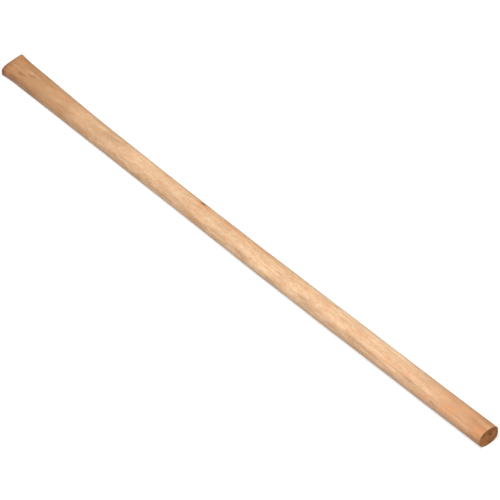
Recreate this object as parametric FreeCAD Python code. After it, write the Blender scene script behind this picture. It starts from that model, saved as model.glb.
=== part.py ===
"""Bare wooden haft (long handle) for a splitting maul, millimetres.

The haft lies on its broad side on z = 0, with X along it: the butt that the hand stops at is
at -X, and the end that goes up through the eye of the steel head is at +X. Y is the wide way
of its oval section and Z the thin way. It is one stave of wood, so the model is one solid.
"""
import FreeCAD
import Part
import math
import os

# Driving dimensions. A station is a place along the haft, as a share of its length from the
# butt, and the size there.
LENGTH = 915.0
BASE_WIDTH = [(0.0, 33.0), (0.14, 31.0), (0.33, 30.2), (0.60, 31.9), (0.85, 31.8), (1.0, 32.9)]
THICKNESS = [(0.0, 19.5), (0.10, 19.5), (0.33, 21.8), (0.60, 24.8), (0.85, 27.4), (1.0, 27.4)]

# The section is a superellipse that is blunter at its back, +Y, than at its front, -Y. These
# are its exponents there: 2 is an ellipse, and a higher one has squarer corners.
FRONT_SQUARENESS = [(0.0, 3.4), (0.20, 2.6), (0.50, 2.2), (1.0, 2.2)]
BACK_SQUARENESS = [(0.0, 6.0), (0.20, 3.2), (0.50, 2.4), (1.0, 2.4)]
# How much thicker the grip is at its back than at its middle, as a share of its thickness.
WEDGE = [(0.0, 0.08), (0.20, 0.056), (0.50, 0.0), (1.0, 0.0)]

FLARE = 4.2          # how much wider the butt is than the grip in front of it
FLARE_LENGTH = 27.0  # the stretch over which the flare fades into the grip
BOW = 3.3            # sideways bow of the stave, towards -Y at the middle

BUTT_EASE = 0.8      # rounding of the rim at the butt
HEAD_EASE = 0.8      # rounding of the rim at the head end
FLAT_DEPTH = 0.2     # sanded off the underside, which leaves the narrow flat that the haft lies on

SECTION_POINTS = 48  # points round each section
SECTIONS = 29        # sections from end to end
CROWDING = 1.5       # how much closer together they stand at the butt, for the flare; 1 is even


def at_station(stations, share):
    """Size at a share of the length: a smooth curve through the stations that never overshoots."""
    places = [place for place, size in stations]
    sizes = [size for place, size in stations]
    rises = [(sizes[i + 1] - sizes[i]) / (places[i + 1] - places[i]) for i in range(len(sizes) - 1)]
    slopes = [0.0] * len(sizes)
    for i in range(1, len(rises)):
        if rises[i - 1] * rises[i] > 0:
            slopes[i] = 2 * rises[i - 1] * rises[i] / (rises[i - 1] + rises[i])
    for i in range(len(rises)):
        if share <= places[i + 1]:
            break
    span = places[i + 1] - places[i]
    t = (share - places[i]) / span
    start = sizes[i] * (1 + 2 * t) * (1 - t) ** 2 + slopes[i] * span * t * (1 - t) ** 2
    end = sizes[i + 1] * t * t * (3 - 2 * t) - slopes[i + 1] * span * t * t * (1 - t)
    return start + end


def width_at(along):
    """Full width of the haft at a distance from the butt."""
    fade = max(0.0, 1 - along / FLARE_LENGTH)
    return at_station(BASE_WIDTH, along / LENGTH) + FLARE * fade ** 2


def section(along):
    """Closed outline across the haft, standing upright at a distance from the butt."""
    share = along / LENGTH
    half_width = width_at(along) / 2
    half_thickness = at_station(THICKNESS, share) / 2
    wedge = at_station(WEDGE, share)
    middle_y = -BOW * (1 - (2 * share - 1) ** 2)
    points = []
    for i in range(SECTION_POINTS):
        angle = 2 * math.pi * (i + 0.5) / SECTION_POINTS
        across, up = math.cos(angle) / half_width, math.sin(angle) / half_thickness
        power = at_station(BACK_SQUARENESS if across > 0 else FRONT_SQUARENESS, share)
        reach = (abs(across) ** power + abs(up) ** power) ** (-1 / power)
        y = reach * math.cos(angle)
        z = (half_thickness + reach * math.sin(angle)) * (1 + wedge * y / half_width)
        points.append(FreeCAD.Vector(along - LENGTH / 2, middle_y + y, z))
    # Every section shares one even spacing of parameters, which keeps the loft's surface simple.
    spacing = [i / SECTION_POINTS for i in range(SECTION_POINTS + 1)]
    outline = Part.BSplineCurve()
    outline.interpolate(Points=points, PeriodicFlag=True, Parameters=spacing)
    return Part.Wire([outline.toShape()])


def haft():
    """Loft through sections that stand closer together in the flare, with eased rims."""
    places = [LENGTH * (i / (SECTIONS - 1)) ** CROWDING for i in range(SECTIONS)]
    solid = Part.makeLoft([section(place) for place in places], True, False)
    for end, ease in ((-LENGTH / 2, BUTT_EASE), (LENGTH / 2, HEAD_EASE)):
        rim = [edge for edge in solid.Edges
               if max(abs(edge.BoundBox.XMin - end), abs(edge.BoundBox.XMax - end)) < 0.01]
        solid = solid.makeFillet(ease, rim)
    return solid


def lay_down(solid):
    """Sand the underside flat, with the bottom centre of the solid's box at the origin."""
    box = solid.optimalBoundingBox(False, False)
    bottom = box.ZMin + FLAT_DEPTH
    corner = FreeCAD.Vector(box.XMin - 1, box.YMin - 1, bottom)
    above = Part.makeBox(box.XLength + 2, box.YLength + 2, box.ZLength, corner)
    sanded = solid.common(above)
    sanded.translate(FreeCAD.Vector(-box.Center.x, -box.Center.y, -bottom))
    return sanded


os.makedirs("parts", exist_ok=True)
shape = lay_down(haft())
shape.exportStep("parts/haft.step")
box = shape.optimalBoundingBox(False, False)
print("haft", "valid", shape.isValid(), "volume cm3", round(shape.Volume / 1000, 1))
print("box", round(box.XLength, 2), round(box.YLength, 2), round(box.ZLength, 2),
      "from", round(box.XMin, 2), round(box.YMin, 2), round(box.ZMin, 2))
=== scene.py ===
"""Looks of a bare splitting maul haft: one stave of pale hardwood, in metres.

The haft lies along X with its butt at -X and the end that enters the steel head at +X.
"""
import math

import bpy
import numpy as np
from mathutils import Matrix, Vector


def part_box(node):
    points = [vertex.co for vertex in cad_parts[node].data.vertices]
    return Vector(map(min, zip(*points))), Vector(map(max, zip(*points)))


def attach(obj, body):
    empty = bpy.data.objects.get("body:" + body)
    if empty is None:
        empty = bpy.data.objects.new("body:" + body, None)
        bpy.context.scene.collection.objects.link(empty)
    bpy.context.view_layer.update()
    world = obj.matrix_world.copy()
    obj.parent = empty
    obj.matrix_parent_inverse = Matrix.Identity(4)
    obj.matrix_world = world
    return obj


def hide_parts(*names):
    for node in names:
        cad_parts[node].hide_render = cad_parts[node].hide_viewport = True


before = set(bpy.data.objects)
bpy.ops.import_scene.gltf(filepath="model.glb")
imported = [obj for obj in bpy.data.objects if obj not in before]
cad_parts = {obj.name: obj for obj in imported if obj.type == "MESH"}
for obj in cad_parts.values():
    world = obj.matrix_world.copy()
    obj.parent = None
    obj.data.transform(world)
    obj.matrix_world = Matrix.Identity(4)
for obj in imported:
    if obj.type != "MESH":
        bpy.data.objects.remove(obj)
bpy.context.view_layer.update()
haft_low, haft_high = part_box("haft")

MM = 0.001
LENGTH = haft_high.x - haft_low.x

# ---------------------------------------------------------------------------------------
# Shape of the stave, as in the CAD source. A station is a share of the length from the
# butt, and the size there: in mm, or a plain number.
# ---------------------------------------------------------------------------------------
BASE_WIDTH = [(0.0, 33.0), (0.14, 31.0), (0.33, 30.2), (0.60, 31.9), (0.85, 31.8), (1.0, 32.9)]
THICKNESS = [(0.0, 19.5), (0.10, 19.5), (0.33, 21.8), (0.60, 24.8), (0.85, 27.4), (1.0, 27.4)]
FRONT_SQUARENESS = [(0.0, 3.4), (0.20, 2.6), (0.50, 2.2), (1.0, 2.2)]  # of the -Y half
BACK_SQUARENESS = [(0.0, 6.0), (0.20, 3.2), (0.50, 2.4), (1.0, 2.4)]   # of the +Y half
# Share by which the back edge is thicker and the front edge thinner.
WEDGE = [(0.0, 0.08), (0.20, 0.056), (0.50, 0.0), (1.0, 0.0)]
FLARE = 4.2 * MM         # that the butt is wider by
FLARE_LENGTH = 27.0 * MM
BOW = 3.3 * MM           # sideways, at the middle of the length
FLAT_DEPTH = 0.2 * MM    # of the flat along the underside
EASE = 0.8 * MM          # rounding of the rims at both ends

# How fine the mesh is.
AROUND = 180             # points round the haft
RINGS = 400              # rings along it
EASE_RINGS = 4           # rings round each eased rim
CAP_RINGS = 38           # rings across each end face
OUTLINE_SAMPLES = 1440   # points of the fine outline that a ring is spaced out from
LENGTH_SAMPLES = 6001    # places along the haft that the rings are spaced out from
# Rings stand closer round these places: how far that reaches, and how many more there are.
PIT_CROWD = (7 * MM, 5)
BUTT_CROWD = (30 * MM, 2)
HEAD_CROWD = (8 * MM, 3)

# Unevenness of the side, left by shaving, sanding and the grain: height, and how many swells
# it has along the haft and round it.
UNEVENNESS = [(0.16 * MM, 19, 7), (0.06 * MM, 70, 16), (0.015 * MM, 260, 40)]
SEED = 20

# ---------------------------------------------------------------------------------------
# Marks in the wood; the brown list also holds painted shade and the pale list painted light.
# Each gives its distance from the butt as a share of the length, the way out from the middle in
# degrees from +Y towards +Z, its half length and half width in mm, and its strength.
# ---------------------------------------------------------------------------------------
BROWN_STREAKS_AND_PAINTED_SHADE = [
    # Painted shade on the butt's rounded lower front corner and the grip's lower front, and the figure in
    # the grip.
    (0.0000, 175, 6.0, 13, 0.90), (0.0020, 182, 5.0, 8.0, 0.90), (0.0200, 172, 22, 5.5, 0.60),
    (0.0600, 168, 34, 5.0, 0.35), (0.0300, 132, 4.5, 1.5, 0.60), (0.0369, 121, 3.6, 1.5, 0.45),
    (0.0430, 101, 3.6, 1.5, 0.40), (0.0476, 86, 3.6, 1.5, 0.30),
    # Streaks along the front, which also paint shade on its lower part.
    (0.1000, 152, 34, 4.5, 0.26), (0.1300, 168, 50, 4.5, 0.26), (0.1900, 148, 50, 4.5, 0.20),
    (0.2300, 166, 60, 4.5, 0.30), (0.2450, 96, 26, 3.0, 0.11), (0.2900, 148, 60, 5.0, 0.18),
    (0.3400, 163, 50, 4.5, 0.30), (0.3650, 139, 17, 1.7, 0.30), (0.4000, 148, 44, 5.0, 0.18),
    (0.4250, 163, 17, 2.8, 0.36), (0.4800, 152, 46, 8.0, 0.22), (0.5100, 158, 24, 2.4, 0.24),
    (0.5750, 170, 14, 2.0, 0.26), (0.6500, 146, 24, 5.0, 0.50), (0.7000, 160, 16, 2.4, 0.26),
    (0.7500, 150, 36, 2.6, 0.44), (0.7900, 157, 20, 2.0, 0.24), (0.8550, 144, 14, 3.4, 0.34),
    (0.8900, 143, 26, 2.4, 0.28),
    # The tail of the pin knot, and soft marks by the head end.
    (0.9060, 160, 2.6, 0.7, 0.75), (0.9090, 168, 2.2, 0.7, 0.75), (0.9112, 180, 2.0, 0.7, 0.65),
    (0.9700, 115, 14, 8.0, 0.16), (0.9830, 171, 6, 1.0, 0.45), (0.9850, 100, 12, 8.0, 0.22),
    # The back and the underside.
    (0.5600, 300, 60, 6.0, 0.22), (0.3000, 250, 50, 5.0, 0.22), (0.7800, 20, 40, 4.0, 0.20),
    (0.1500, 340, 45, 5.0, 0.22), (0.8800, 262, 40, 5.0, 0.24),
]
ORANGE_MARKS = [
    (0.0090, 170, 5.0, 4.0, 0.70), (0.0150, 52, 10, 3.0, 0.20), (0.1100, 66, 24, 3.0, 0.30),
    (0.4120, 60, 15, 3.6, 0.75), (0.4700, 60, 34, 2.6, 0.45), (0.6400, 70, 40, 2.6, 0.25),
    (0.9320, 146, 11, 5.0, 0.50), (0.9900, 135, 8, 12, 0.35), (0.9600, 75, 14, 6.0, 0.25),
    (0.3500, 50, 45, 3.0, 0.20), (0.5300, 54, 50, 3.2, 0.50), (0.9200, 62, 30, 4.0, 0.20),
    # The back and the underside.
    (0.2700, 20, 40, 5.0, 0.40), (0.7000, 320, 50, 5.0, 0.50), (0.4500, 230, 45, 6.0, 0.45),
]
# Pale streaks along the upper back edge, which also paint light on that edge.
PALE_STREAKS_AND_PAINTED_LIGHT = [(0.2900, 50, 42, 5.0, 0.30), (0.7000, 50, 60, 6.0, 0.38), (0.8000, 52, 60, 6.0, 0.46)]
# A bark pit, a shallower one and the heart of the pin knot, which are hollows too.
PITS = [(0.4070, 47, 4.4, 1.3, 1.00), (0.6866, 53, 4.6, 0.6, 0.70), (0.9021, 159, 1.0, 0.9, 0.70)]
PIT_DEPTH = 0.34 * MM
KNOT = PITS[2]
KNOT_COLLAR = 2.6        # mm from the knot's heart to the top of the swelling round it
KNOT_SWELLING = 0.16 * MM

# Stains and short drying checks in the end faces: place on the face in mm from its middle, along
# Y and Z, direction in degrees from +Y towards +Z, half length, half width and depth in mm.
HEAD_CHECKS = [(2.9, 2.6, 112, 2.6, 1.05, 0.34), (1.2, -1.9, 96, 1.7, 0.85, 0.28),
               (2.3, -9.2, 35, 1.6, 0.80, 0.22), (-6.5, 4.6, 33, 3.8, 0.42, 0.26)]
BUTT_CHECKS = [(5.5, 2.2, 30, 5.5, 0.45, 0.45), (11.5, -3.4, 28, 2.6, 0.42, 0.32)]
CHECK_WAVE = 0.25        # how far a check waves aside, in half widths
DARK_DEPTH = 0.35 * MM   # at which a check is at its darkest

# The saw's marks in the end faces.
SAW_RIDGE = 0.05 * MM    # how deep they are
SAW_GAP = 1.7 * MM       # from one to the next
SAW_WAVE = 1.3           # how far they wave, in radians of that gap
SAW_WAVE_RADIAN = 3.1 * MM  # of the face's width, for one radian of a wave
BUTT_SAW_WAY = 62        # degrees from +Y towards +Z, across the marks
HEAD_SAW_WAY = 118
RIM_SHARE = 1 / 12       # of the way from rim to middle, over which checks and saw marks begin
RIM_BROWN = 0.75         # strength of the brown edge of an end face
RIM_BROWN_REACH = 0.11   # of the way from rim to middle


def at_station(stations, share):
    """Sizes at shares of the length: a smooth curve through the stations that never overshoots."""
    places = np.array([place for place, size in stations])
    sizes = np.array([size for place, size in stations])
    spans = np.diff(places)
    rises = np.diff(sizes) / spans
    slopes = np.zeros(len(sizes))
    for i in range(1, len(rises)):
        if rises[i - 1] * rises[i] > 0:
            slopes[i] = 2 * rises[i - 1] * rises[i] / (rises[i - 1] + rises[i])
    share = np.asarray(share, float)
    i = np.clip(np.searchsorted(places, share) - 1, 0, len(rises) - 1)
    t = (share - places[i]) / spans[i]
    start = sizes[i] * (1 + 2 * t) * (1 - t) ** 2 + slopes[i] * spans[i] * t * (1 - t) ** 2
    end = sizes[i + 1] * t * t * (3 - 2 * t) - slopes[i + 1] * spans[i] * t * t * (1 - t)
    return start + end


def half_sizes(share):
    """Half the width and half the thickness at shares of the length."""
    fade = np.clip(1 - share * LENGTH / FLARE_LENGTH, 0, None)
    half_width = at_station(BASE_WIDTH, share) * MM / 2 + FLARE / 2 * fade ** 2
    return half_width, at_station(THICKNESS, share) * MM / 2


def outline(share, drawn_in):
    """Points evenly spaced round one section, counted from +Y towards +Z, about its middle."""
    full_width, full_thickness = half_sizes(share)
    half_width, half_thickness = full_width - drawn_in, full_thickness - drawn_in
    angle = np.linspace(0, 2 * math.pi, OUTLINE_SAMPLES + 1)
    across, up = np.cos(angle) / half_width, np.sin(angle) / half_thickness
    power = np.where(across > 0, at_station(BACK_SQUARENESS, share), at_station(FRONT_SQUARENESS, share))
    reach = (np.abs(across) ** power + np.abs(up) ** power) ** (-1 / power)
    y, z = reach * np.cos(angle), reach * np.sin(angle)
    z += (z + full_thickness) * at_station(WEDGE, share) * y / full_width
    run = np.concatenate([[0], np.cumsum(np.hypot(np.diff(y), np.diff(z)))])
    even = np.linspace(0, run[-1], AROUND + 1)[:-1]
    return np.interp(even, run, y), np.interp(even, run, z)


def ring_places():
    """Shares of the length for the rings, which stand closer at the pits and at both ends."""
    share = np.linspace(0, 1, LENGTH_SAMPLES)
    density = np.ones_like(share)
    crowds = [(pit[0], *PIT_CROWD) for pit in PITS] + [(0, *BUTT_CROWD), (1, *HEAD_CROWD)]
    for place, reach, more in crowds:
        density += more * np.exp(-((share - place) * LENGTH / reach) ** 2)
    total = np.concatenate([[0], np.cumsum((density[1:] + density[:-1]) / 2)])
    return np.interp(np.linspace(0, total[-1], RINGS), total, share)


def ring_list():
    """Each ring's share of the length, and how far its outline is drawn in at an eased rim."""
    turn = np.linspace(0, math.pi / 2, EASE_RINGS + 1)
    inner = EASE / LENGTH
    rings = [(EASE * (1 - math.cos(a)) / LENGTH, EASE * (1 - math.sin(a))) for a in turn]
    rings += [(inner + (1 - 2 * inner) * place, 0.0) for place in ring_places()[1:-1]]
    rings += [(1 - place, drawn_in) for place, drawn_in in rings[EASE_RINGS::-1]]
    return np.array(rings).T


def distance_to(mark, share, way, reach):
    """Distances from a mark's middle, as a share of its half length and half width."""
    place, mark_way, half_length, half_width, strength = mark
    along = (share - place) * LENGTH / (half_length * MM)
    round_it = np.radians((way - mark_way + 180) % 360 - 180) * reach / (half_width * MM)
    return np.hypot(along, round_it)


def marks_over(marks, share, way, reach):
    """Strength of a list of soft marks, from 0 to 1, over the whole surface."""
    clear = np.ones_like(share)
    for mark in marks:
        strength = mark[-1]
        clear *= 1 - strength * np.exp(-distance_to(mark, share, way, reach) ** 2)
    return 1 - clear


def smooth_noise(rng, u, v, cells_u, cells_v):
    """Smooth random height from -1 to 1 over u and v in 0..1, which repeats round v."""
    grid = rng.uniform(-1, 1, (cells_u + 3, cells_v))
    gu, gv = u * cells_u, v * cells_v
    iu, iv = np.floor(gu).astype(int), np.floor(gv).astype(int)
    fu, fv = gu - iu, gv - iv
    fu, fv = fu * fu * (3 - 2 * fu), fv * fv * (3 - 2 * fv)
    a, b = grid[iu, iv % cells_v], grid[iu + 1, iv % cells_v]
    c, d = grid[iu, (iv + 1) % cells_v], grid[iu + 1, (iv + 1) % cells_v]
    return (a * (1 - fu) + b * fu) * (1 - fv) + (c * (1 - fu) + d * fu) * fv


def surface_rise(share, round_share, way, reach, pits):
    """How far each point of the side stands out from the plain outline."""
    rng = np.random.default_rng(SEED)
    rise = np.zeros_like(share)
    for height, along, around in UNEVENNESS:
        rise += height * smooth_noise(rng, share, round_share, along, around)
    from_collar = distance_to(KNOT, share, way, reach) * KNOT[3] - KNOT_COLLAR
    rise += KNOT_SWELLING * np.exp(-(from_collar / (0.5 * KNOT_COLLAR)) ** 2)
    return rise - PIT_DEPTH * pits


def end_hollow(y, z, checks, saw_way):
    """Depth of the saw's marks and drying checks over an end face, from its middle."""
    turn = math.radians(saw_way)
    stripe = (y * math.cos(turn) + z * math.sin(turn)) / SAW_GAP
    wave = SAW_WAVE * np.sin(y / SAW_WAVE_RADIAN)
    depth = SAW_RIDGE * (0.5 + 0.5 * np.sin(2 * math.pi * stripe + wave))
    for check_y, check_z, way, half_length, half_width, most in checks:
        turn = math.radians(way)
        dy, dz = y - check_y * MM, z - check_z * MM
        along = (dy * math.cos(turn) + dz * math.sin(turn)) / (half_length * MM)
        aside = (dz * math.cos(turn) - dy * math.sin(turn)) / (half_width * MM)
        depth += most * MM * np.exp(-along ** 4 - (aside - CHECK_WAVE * np.sin(3 * along)) ** 2)
    return depth


def cap(rim, checks, saw_way, inward):
    """Rings from the rim of an end face to its middle, the middle point, and their depths.

    Inward is 1 or -1, the direction along X into the wood.
    """
    centre = rim.mean(0)
    keep = 1 - np.arange(1, CAP_RINGS)[:, None, None] / CAP_RINGS
    rings = centre + (rim - centre) * keep
    depth = end_hollow(rings[..., 1] - centre[1], rings[..., 2] - centre[2], checks, saw_way)
    depth *= np.clip((1 - keep[..., 0]) / RIM_SHARE, 0, 1)
    rings[..., 0] += inward * depth
    return rings, centre, depth


def faces_over(rows):
    """Quads between rows of points round the haft, and triangles to the middle of both ends."""
    first = np.arange(rows - 1)[:, None] * AROUND
    here = np.arange(AROUND)[None]
    after = (here + 1) % AROUND
    quads = np.stack([first + here, first + after, first + AROUND + after, first + AROUND + here], -1)
    faces = [tuple(quad) for quad in quads.reshape(-1, 4).tolist()]
    butt_point, head_point = rows * AROUND, rows * AROUND + 1
    last = (rows - 1) * AROUND
    for i in range(AROUND):
        j = (i + 1) % AROUND
        faces.append((butt_point, j, i))
        faces.append((head_point, last + i, last + j))
    return faces


def haft_mesh():
    """The stave as one closed mesh, with the strengths of its marks, painted light and shade among them,
    at every point.
    """
    share, drawn_in = ring_list()
    y, z = np.array([outline(s, d) for s, d in zip(share, drawn_in)]).transpose(1, 0, 2)
    # Outward direction of each point, across the haft.
    dy, dz = np.roll(y, -1, 1) - np.roll(y, 1, 1), np.roll(z, -1, 1) - np.roll(z, 1, 1)
    out_y, out_z = dz / np.hypot(dy, dz), -dy / np.hypot(dy, dz)

    u = np.repeat(share[:, None], AROUND, 1)
    v = np.repeat(np.linspace(0, 1, AROUND, endpoint=False)[None], len(share), 0)
    way, reach = np.degrees(np.arctan2(z, y)) % 360, np.hypot(y, z)
    pits = marks_over(PITS, u, way, reach)
    rise = surface_rise(u, v, way, reach, pits) * np.clip(1 - drawn_in[:, None] / EASE, 0, 1)
    y, z = y + rise * out_y, z + rise * out_z

    y -= (BOW * (1 - (2 * share - 1) ** 2))[:, None]
    z += half_sizes(share)[1][:, None]
    side = np.stack([u * LENGTH + haft_low.x, y, z], -1)
    butt_cap, butt_centre, butt_depth = cap(side[0], BUTT_CHECKS, BUTT_SAW_WAY, 1)
    head_cap, head_centre, head_depth = cap(side[-1], HEAD_CHECKS, HEAD_SAW_WAY, -1)
    rows = np.concatenate([butt_cap[::-1], side, head_cap])
    vertices = np.concatenate([rows.reshape(-1, 3), [butt_centre, head_centre]])
    vertices[:, 2] = np.maximum(vertices[:, 2] - FLAT_DEPTH, 0)
    vertices[:, 1] += (haft_low.y + haft_high.y - vertices[:, 1].min() - vertices[:, 1].max()) / 2
    mesh = bpy.data.meshes.new("haft_wood")
    mesh.from_pydata(vertices.tolist(), [], faces_over(len(rows)))
    mesh.polygons.foreach_set("use_smooth", [True] * len(mesh.polygons))

    def attribute(name, on_side, on_butt, on_head, on_middles=0):
        """Gives every point a number, in the order of the vertices."""
        rings = [on_butt[::-1].ravel(), on_side.ravel(), on_head.ravel()]
        values = np.concatenate(rings + [[on_middles, on_middles]]).astype(np.float32)
        mesh.attributes.new(name, "FLOAT", "POINT").data.foreach_set("value", values)

    blank = np.zeros_like(butt_depth)
    from_rim = np.arange(1, CAP_RINGS)[:, None] / CAP_RINGS
    rim = np.repeat(RIM_BROWN * np.exp(-(from_rim / RIM_BROWN_REACH) ** 2), AROUND, 1)
    eased = np.repeat(drawn_in[:, None] / EASE, AROUND, 1)
    attribute("end_grain", eased ** 4, blank + 1, blank + 1, 1)
    # Brown marks, with painted shade on the lower front and the butt's corner, and brown edges on the end
    # faces.
    attribute("brown", marks_over(BROWN_STREAKS_AND_PAINTED_SHADE, u, way, reach), rim, rim)
    attribute("orange", marks_over(ORANGE_MARKS, u, way, reach), blank, blank)
    # Pale streaks, with painted light on the upper back edge.
    attribute("pale", marks_over(PALE_STREAKS_AND_PAINTED_LIGHT, u, way, reach), blank, blank)
    attribute("dark", pits, np.clip((butt_depth - SAW_RIDGE) / DARK_DEPTH, 0, 1),
              np.clip((head_depth - SAW_RIDGE) / DARK_DEPTH, 0, 1))
    return mesh


# ---------------------------------------------------------------------------------------
# Wood
# ---------------------------------------------------------------------------------------
def linear(red, green, blue):
    """A colour given as 0..255 display values, as the linear values that shaders take."""
    values = [v / 255 for v in (red, green, blue)]
    return tuple(v / 12.92 if v <= 0.04045 else ((v + 0.055) / 1.055) ** 2.4 for v in values) + (1,)


class Graph:
    """Short calls that add nodes to a material; an input is a number, a colour or a socket."""

    def __init__(self, material):
        material.use_nodes = True
        self.tree = material.node_tree
        self.tree.nodes.clear()

    def put(self, value, socket):
        if isinstance(value, bpy.types.NodeSocket):
            self.tree.links.new(value, socket)
        else:
            socket.default_value = value

    def node(self, kind, **settings):
        made = self.tree.nodes.new(kind)
        for name, value in settings.items():
            setattr(made, name, value)
        return made

    def math(self, operation, a, b=0.0, c=0.0):
        made = self.node("ShaderNodeMath", operation=operation)
        for value, socket in zip((a, b, c), made.inputs):
            self.put(value, socket)
        return made.outputs[0]

    def vector(self, operation, a, b):
        made = self.node("ShaderNodeVectorMath", operation=operation)
        self.put(a, made.inputs[0])
        self.put(b, made.inputs[1])
        return made.outputs[0]

    def parts(self, vector):
        """The X, Y and Z of a vector."""
        made = self.node("ShaderNodeSeparateXYZ")
        self.put(vector, made.inputs[0])
        return made.outputs

    def spread(self, value, low, high, to_low=0.0, to_high=1.0):
        """The value's smooth way from low to high, given out as to_low to to_high."""
        made = self.node("ShaderNodeMapRange", interpolation_type="SMOOTHSTEP")
        for number, socket in zip((value, low, high, to_low, to_high), made.inputs):
            self.put(number, socket)
        return made.outputs[0]

    def noise(self, where, along, across, detail=2.0, roughness=0.5, output="Fac"):
        """Noise from 0 to 1; along and across are how fast it changes on and off X, per mm."""
        made = self.node("ShaderNodeTexNoise")
        self.put(self.vector("MULTIPLY", where, (along, across, across)), made.inputs["Vector"])
        made.inputs["Scale"].default_value = 1.0
        made.inputs["Detail"].default_value = detail
        made.inputs["Roughness"].default_value = roughness
        return made.outputs[output]

    def mix(self, share, a, b):
        """Colour a, turned to colour b by a share."""
        made = self.node("ShaderNodeMix", data_type="RGBA")
        self.put(share, made.inputs[0])
        self.put(a, made.inputs[6])
        self.put(b, made.inputs[7])
        return made.outputs[2]

    def ramp(self, value, stops):
        """The colour at a value, between stops of place and colour."""
        made = self.node("ShaderNodeValToRGB")
        self.put(value, made.inputs[0])
        elements = made.color_ramp.elements
        while len(elements) < len(stops):
            elements.new(0.5)
        for element, (place, colour) in zip(elements, stops):
            element.position = place
            element.color = colour
        return made.outputs[0]

    def attribute(self, name):
        return self.node("ShaderNodeAttribute", attribute_name=name).outputs["Fac"]

    def finish(self, shader):
        out = self.node("ShaderNodeOutputMaterial")
        self.put(shader.outputs[0], out.inputs["Surface"])


PITH = (-58.0, -34.0)    # where the tree's heart ran, in mm across (Y) and up (Z) from the haft
LEAN = (0.010, -0.006)   # how far it leans across and up for each mm along the haft
RING_GAP = 1.9           # mm from one growth ring to the next
RING_DRIFT = 16          # mm that the rings wander along the stave
RING_UNEVENNESS = 1.6    # in growth rings

BROWN = linear(100, 64, 38)
ORANGE = linear(184, 122, 76)
PALE = linear(220, 190, 156)
LATE_WOOD = linear(166, 116, 76)
FLECK = linear(134, 84, 50)
PIT = linear(50, 26, 14)
STAIN = linear(84, 34, 12)
END_GRAIN = linear(143, 86, 39)
DARK_END = linear(70, 34, 14)
LIGHT_END = linear(182, 122, 66)
# Tones along the haft, at shares of its length: darker and browner towards the butt, partly the wood's
# browner tone and partly painted shade of the light falling off there.
TONES_WITH_BUTT_SHADE = [(0.00, linear(141, 105, 73)), (0.08, linear(156, 124, 92)), (0.20, linear(185, 158, 127)),
         (0.36, linear(185, 158, 127)), (0.62, linear(190, 164, 134)), (0.86, linear(175, 147, 118)),
         (0.96, linear(163, 127, 97)), (1.00, linear(140, 100, 69))]
# Layers of colour over the tones: the shift that gives its noise a place of its own, how fast
# the noise changes along and across the haft, its detail and roughness, the values at which the
# layer starts and is full, its full strength, and its colour.
LAYERS = {
    "patches": ((0, 0, 0), 0.021, 0.075, 3.0, 0.55, 0.44, 0.72, 0.31, BROWN),
    "warm patches": ((300, 0, 0), 0.030, 0.11, 3.0, 0.60, 0.52, 0.72, 0.35, ORANGE),
    "light patches": ((700, 0, 0), 0.024, 0.16, 3.0, 0.60, 0.50, 0.72, 0.25, PALE),
    "streaks": ((0, 0, 0), 0.011, 0.42, 3.0, 0.60, 0.50, 0.74, 0.32, BROWN),
    "mottle": ((0, 500, 0), 0.13, 0.26, 4.0, 0.70, 0.40, 0.72, 0.60, LATE_WOOD),
    "fibres": ((0, 0, 0), 0.040, 1.1, 5.0, 0.65, 0.42, 0.72, 0.50, LATE_WOOD),
}


def growth_rings(g, mm):
    """The dark late wood of the growth rings about the pith, from 0 to 1."""
    drift = g.noise(mm, 0.0045, 0.018, 3.0, 0.55, "Color")
    drift = g.vector("MULTIPLY", g.vector("SUBTRACT", drift, (0.5, 0.5, 0.5)), (0, RING_DRIFT, RING_DRIFT))
    x, y, z = g.parts(g.vector("ADD", mm, drift))
    across = g.math("ADD", g.math("MULTIPLY_ADD", x, LEAN[0], -PITH[0]), y)
    up = g.math("ADD", g.math("MULTIPLY_ADD", x, LEAN[1], -PITH[1]), z)
    radius = g.math("SQRT", g.math("ADD", g.math("MULTIPLY", across, across), g.math("MULTIPLY", up, up)))
    uneven = g.noise(mm, 0.012, 0.14)
    rings = g.math("MULTIPLY_ADD", uneven, RING_UNEVENNESS, g.math("DIVIDE", radius, RING_GAP))
    phase = g.math("FRACT", rings)
    late = g.math("MULTIPLY", g.spread(phase, 0.45, 0.93), g.spread(phase, 1.0, 0.95))
    year = g.node("ShaderNodeTexWhiteNoise", noise_dimensions="1D")
    g.put(g.math("FLOOR", rings), year.inputs["W"])
    return g.math("MULTIPLY", late, g.spread(year.outputs["Value"], 0, 1, 0.3, 1.0))


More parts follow.
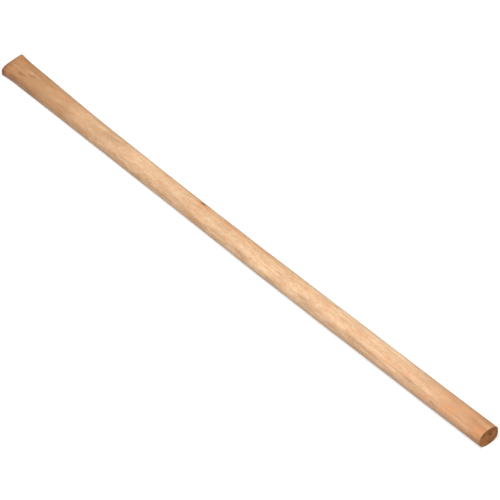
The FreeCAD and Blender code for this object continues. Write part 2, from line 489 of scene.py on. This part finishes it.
def wood():
    """Sanded hardwood: tones, layers, rings, flecks and marks on the side, with painted shade and light
    among the tones and marks, bare end grain.
    """
    material = bpy.data.materials.new("pale_hardwood")
    g = Graph(material)
    place = g.node("ShaderNodeTexCoord").outputs["Object"]
    mm = g.vector("MULTIPLY", place, (1000, 1000, 1000))
    late = growth_rings(g, mm)

    # Tones along the haft, with painted shade towards the butt.
    colour = g.ramp(g.math("MULTIPLY_ADD", g.parts(mm)[0], MM / LENGTH, 0.5), TONES_WITH_BUTT_SHADE)
    fields = {}
    for name, (shift, along, across, detail, roughness, low, high, strength, tint) in LAYERS.items():
        fields[name] = g.noise(g.vector("ADD", mm, shift), along, across, detail, roughness)
        colour = g.mix(g.spread(fields[name], low, high, 0, strength), colour, tint)
    colour = g.mix(g.math("MULTIPLY", late, 0.34), colour, LATE_WOOD)
    fleck = g.spread(g.noise(mm, 0.36, 2.6, 1.0), 0.63, 0.72)
    colour = g.mix(g.math("MULTIPLY", fleck, 0.50), colour, FLECK)
    ragged = g.spread(g.noise(mm, 0.05, 0.7, 3.0, 0.6), 0.25, 0.62, 0.35, 1.0)
    # The pale marks also paint light on the upper back edge, and the brown ones paint shade on the lower
    # front.
    for name, tint in (("pale", PALE), ("orange", ORANGE), ("brown", BROWN)):
        colour = g.mix(g.math("MULTIPLY", g.attribute(name), ragged), colour, tint)

    # End grain: darker, with the rings and fine pores.
    ends = g.attribute("end_grain")
    pore = g.noise(mm, 3.2, 3.2, 2.0, 0.6)
    end_colour = g.mix(g.math("MULTIPLY", late, 0.6), END_GRAIN, DARK_END)
    end_colour = g.mix(g.spread(pore, 0.5, 0.75, 0, 0.5), end_colour, DARK_END)
    blotch = g.noise(mm, 0.13, 0.13)
    end_colour = g.mix(g.spread(blotch, 0.42, 0.65, 0, 0.5), end_colour, LIGHT_END)
    colour = g.mix(ends, colour, end_colour)
    colour = g.mix(g.attribute("dark"), colour, g.mix(ends, PIT, STAIN))

    # Fine relief: fibres and late wood stand up, flecks sink, and pores roughen the ends.
    height = g.math("MULTIPLY_ADD", fields["fibres"], 0.7, g.math("MULTIPLY", late, 0.25))
    height = g.math("SUBTRACT", height, g.math("MULTIPLY", fleck, 0.5))
    height = g.math("MULTIPLY_ADD", g.math("MULTIPLY", pore, ends), 0.8, height)
    bump = g.node("ShaderNodeBump")
    bump.inputs["Strength"].default_value = 0.5
    bump.inputs["Distance"].default_value = 0.06 * MM
    g.put(height, bump.inputs["Height"])
    rough = g.math("MULTIPLY_ADD", ends, 0.25, g.spread(fields["patches"], 0.3, 0.7, 0.52, 0.64))

    shader = g.node("ShaderNodeBsdfPrincipled")
    g.put(colour, shader.inputs["Base Color"])
    g.put(rough, shader.inputs["Roughness"])
    g.put(bump.outputs["Normal"], shader.inputs["Normal"])
    shader.inputs["Specular IOR Level"].default_value = 0.25
    g.finish(shader)
    return material


# ---------------------------------------------------------------------------------------
# Stage, light and camera
# ---------------------------------------------------------------------------------------
WHITE = (1, 1, 1, 1)
FLOOR_REACH = 90.0       # from its middle to each edge
FLOOR_GREY = (0.26, 0.26, 0.26, 1)
FLOOR_GLOW = 0.65        # brings the lit floor to white, and keeps the shadows on it pale
SKY_STRENGTH = 0.08
KEY_PLACE = Vector((0.7, -1.0, 2.9))
KEY_SIZE = 1.5
KEY_WATTS = 205
VIEW_AZIMUTH = 48.3      # degrees from -Y towards +X
VIEW_ELEVATION = 44.35   # degrees above the floor
CAMERA_DISTANCE = 10.0 * LENGTH
LENS = 515.8             # mm on the usual 36 mm wide sensor
AIM_RIGHT = 7.80 * MM    # of the haft's middle, as the camera sees it
AIM_UP = -6.22 * MM


def floor():
    """A wide pale table top at z = 0."""
    mesh = bpy.data.meshes.new("floor")
    r = FLOOR_REACH
    mesh.from_pydata([(-r, -r, 0), (r, -r, 0), (r, r, 0), (-r, r, 0)], [], [(0, 1, 2, 3)])
    made = bpy.data.objects.new("floor", mesh)
    bpy.context.scene.collection.objects.link(made)
    material = bpy.data.materials.new("pale_floor")
    g = Graph(material)
    shader = g.node("ShaderNodeBsdfPrincipled")
    shader.inputs["Base Color"].default_value = FLOOR_GREY
    shader.inputs["Emission Color"].default_value = WHITE
    shader.inputs["Emission Strength"].default_value = FLOOR_GLOW
    shader.inputs["Roughness"].default_value = 0.9
    shader.inputs["Specular IOR Level"].default_value = 0.1
    g.finish(shader)
    mesh.materials.append(material)


def key_light():
    """A soft round lamp above the front, aimed at the frame's origin."""
    data = bpy.data.lights.new("key", "AREA")
    data.shape = "DISK"
    data.size = KEY_SIZE
    data.energy = KEY_WATTS
    made = bpy.data.objects.new("key", data)
    made.location = KEY_PLACE
    made.rotation_euler = (-KEY_PLACE).to_track_quat("-Z", "Y").to_euler()
    bpy.context.scene.collection.objects.link(made)


def sky():
    """Faint even light from all round."""
    world = bpy.data.worlds.new("studio")
    world.use_nodes = True
    background = world.node_tree.nodes["Background"]
    background.inputs["Color"].default_value = WHITE
    background.inputs["Strength"].default_value = SKY_STRENGTH
    bpy.context.scene.world = world


def camera():
    """A distant camera with a long lens, looking down from between the front and the head end."""
    azimuth, elevation = math.radians(VIEW_AZIMUTH), math.radians(VIEW_ELEVATION)
    back = Vector((math.sin(azimuth) * math.cos(elevation),
                   -math.cos(azimuth) * math.cos(elevation), math.sin(elevation)))
    right = Vector((math.cos(azimuth), math.sin(azimuth), 0))
    up = back.cross(right)
    centre = Vector((0, 0, (haft_low.z + haft_high.z) / 2))
    aim = centre + right * AIM_RIGHT + up * AIM_UP
    data = bpy.data.cameras.new("camera")
    data.lens = LENS
    data.clip_end = 200
    made = bpy.data.objects.new("camera", data)
    made.location = aim + back * CAMERA_DISTANCE
    made.rotation_mode = "QUATERNION"
    made.rotation_quaternion = (-back).to_track_quat("-Z", "Y")
    bpy.context.scene.collection.objects.link(made)
    bpy.context.scene.camera = made


camera()
floor()
sky()
key_light()
bpy.context.scene.view_settings.view_transform = "Standard"

stave = bpy.data.objects.new("haft_stave", haft_mesh())
stave.data.materials.append(wood())
bpy.context.scene.collection.objects.link(stave)
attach(stave, "root")
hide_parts("haft")
